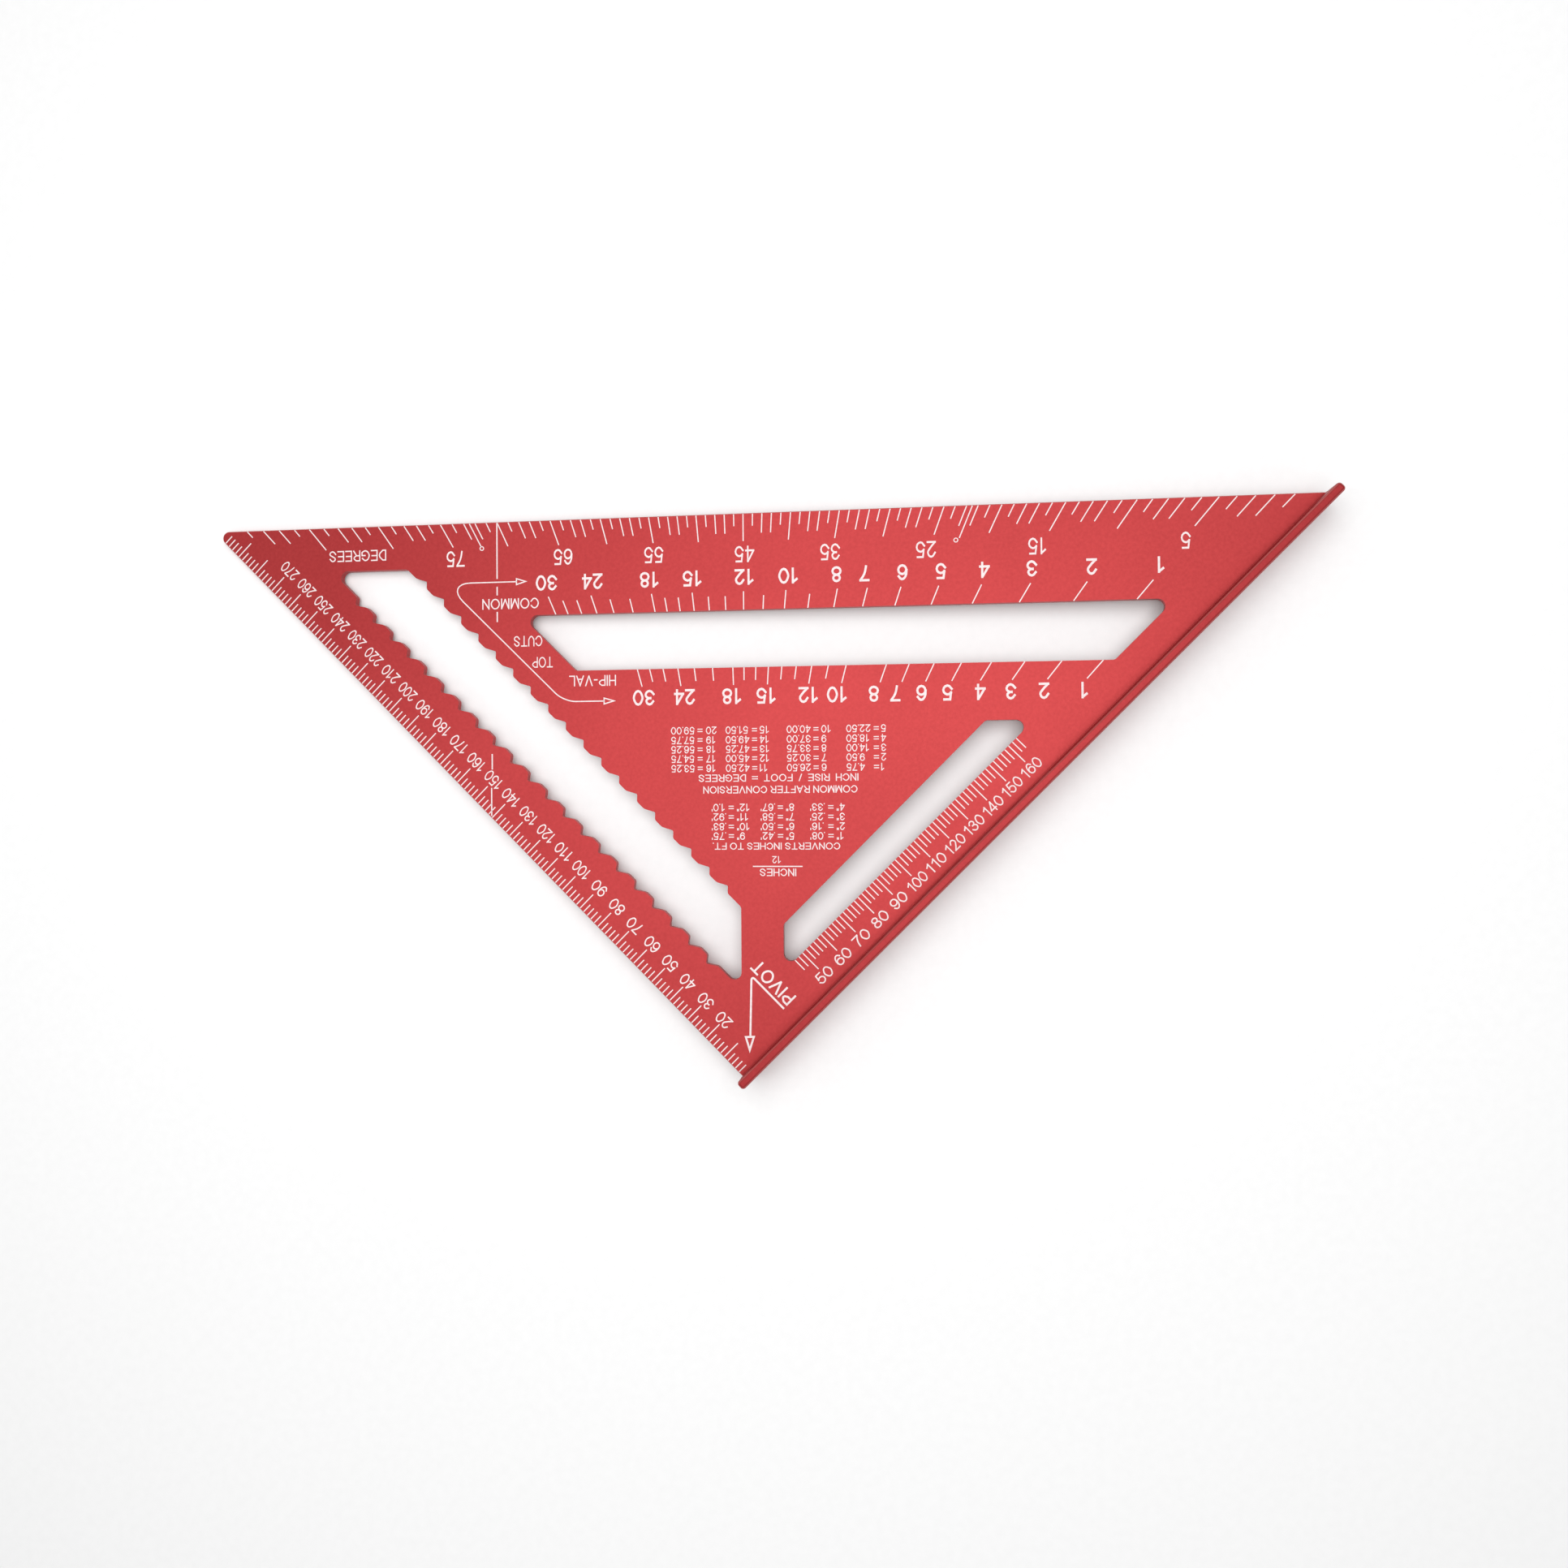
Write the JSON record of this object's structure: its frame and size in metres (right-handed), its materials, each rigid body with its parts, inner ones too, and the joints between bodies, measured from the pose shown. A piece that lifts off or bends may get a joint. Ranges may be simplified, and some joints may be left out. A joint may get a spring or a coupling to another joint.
{
  "type": "rafter square",
  "caption": "Triangular layout square: a flat slotted blade with a 45 degree edge, pressed into a T-shaped fence rail along one leg.",
  "frame": {"origin": "the pivot corner, where the fence's inner face meets the blade's square edge, on the blade's middle plane", "axes": "+X along the fence towards its nose, +Y up the blade's square edge, +Z out of the marked face"},
  "size_m": [0.3084, 0.3047, 0.022],
  "materials": {
    "anodised_blade": "satin red anodised",
    "anodised_fence": "satin red anodised",
    "white_marks": "matte white"
  },
  "bodies": {
    "root": {"blade": "anodised_blade", "fence": "anodised_fence"}
  },
  "joints": []
}
